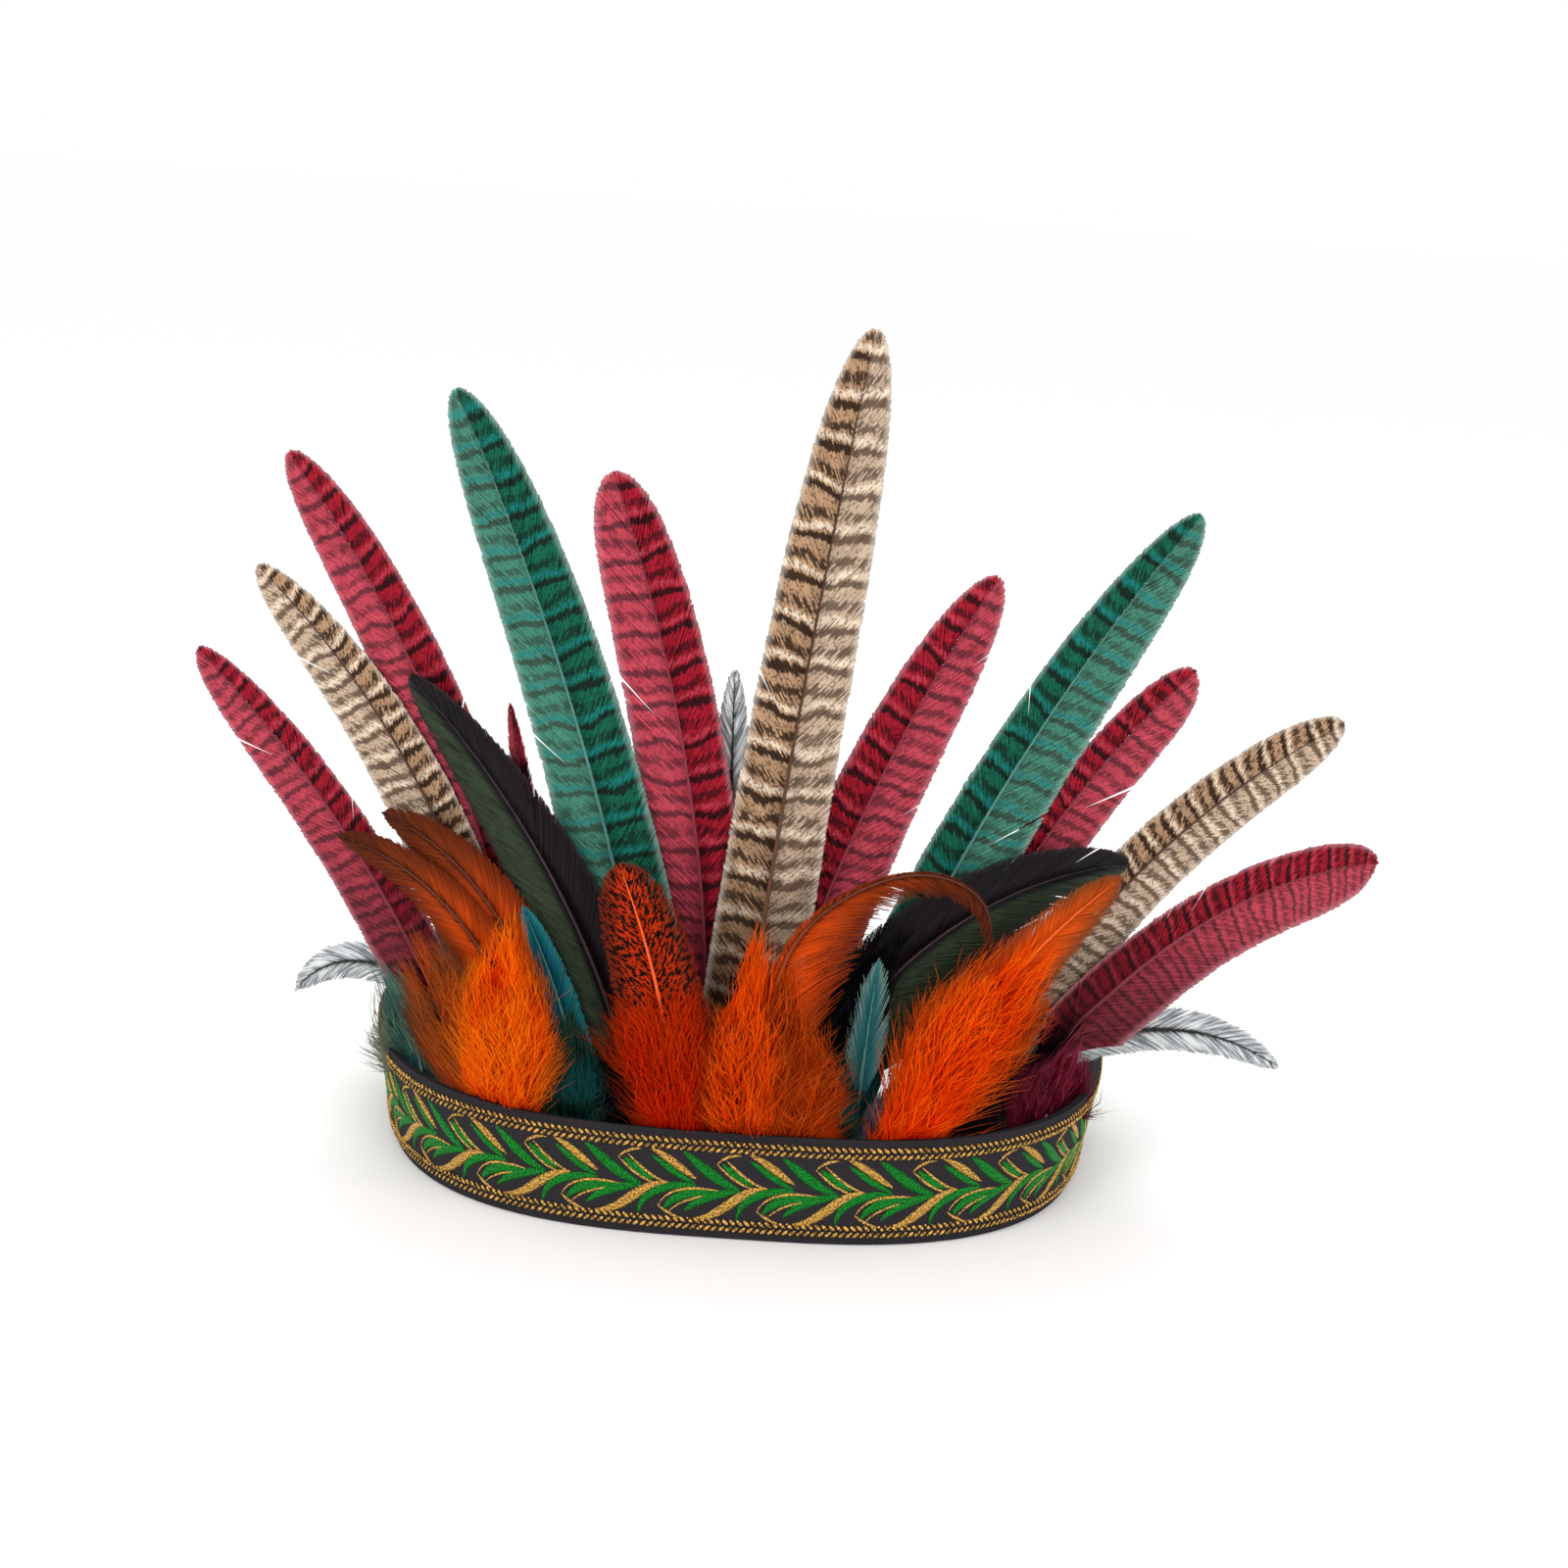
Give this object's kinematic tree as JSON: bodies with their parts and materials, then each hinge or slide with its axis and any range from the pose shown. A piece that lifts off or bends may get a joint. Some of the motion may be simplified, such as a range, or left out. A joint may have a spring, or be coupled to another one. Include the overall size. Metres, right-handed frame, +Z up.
{
  "type": "feathered headdress",
  "caption": "Closed loop of woven leaf ribbon with a standing fan of barred tail feathers, hackles, plumes and down behind its front half.",
  "frame": {"origin": "middle of the whole part's outline from above, on the surface that the ribbon's lower rim rests on", "axes": "+Z up through the head opening, -Y towards the front where the feathers stand, +X to the viewer's right"},
  "size_m": [0.303, 0.1908, 0.2105],
  "materials": {
    "ribbon": "black woven ribbon with a green and gold leaf pattern",
    "burgundy_vane": "dyed burgundy feather, barred dark",
    "tan_vane": "natural tan feather, barred brown",
    "teal_vane": "dyed teal feather, barred dark",
    "badger_vane": "white feather with a black centre",
    "dark_vane": "dark glossy feather with a green sheen",
    "rust_vane": "brown and orange hackle",
    "orange_down": "soft orange down",
    "teal_down": "soft teal down",
    "black_down": "soft black down",
    "purple_down": "soft dark purple down",
    "burgundy_down": "soft burgundy down"
  },
  "bodies": {
    "root": {"ribbon_band": "ribbon", "tail_burgundy_far_left": "burgundy_vane", "tail_tan_left": "tan_vane", "tail_burgundy_left": "burgundy_vane", "tail_teal_left": "teal_vane", "tail_burgundy_centre": "burgundy_vane", "tail_tan_centre": "tan_vane", "tail_burgundy_right": "burgundy_vane", "tail_teal_right": "teal_vane", "tail_burgundy_behind": "burgundy_vane", "tail_tan_right": "tan_vane", "tail_burgundy_far_right": "burgundy_vane", "hackle_burgundy": "burgundy_vane", "hackle_tan": "tan_vane", "badger_centre": "badger_vane", "badger_left": "badger_vane", "badger_right": "badger_vane", "coque_left": "dark_vane", "coque_inner_left": "dark_vane", "coque_right": "dark_vane", "hackle_teal_left": "teal_vane", "hackle_teal_right": "teal_vane", "hackle_orange_low": "rust_vane", "hackle_orange_high": "rust_vane", "hackle_arching": "rust_vane", "plume_left": "orange_down", "plume_spotted": "orange_down", "plume_centre": "orange_down", "plume_right": "orange_down", "tuft_teal_left": "teal_down", "tuft_teal_middle": "teal_down", "tuft_teal_right": "teal_down", "tuft_black_middle": "black_down", "tuft_purple": "purple_down", "tuft_black_right": "black_down", "tuft_burgundy": "burgundy_down"}
  },
  "joints": []
}
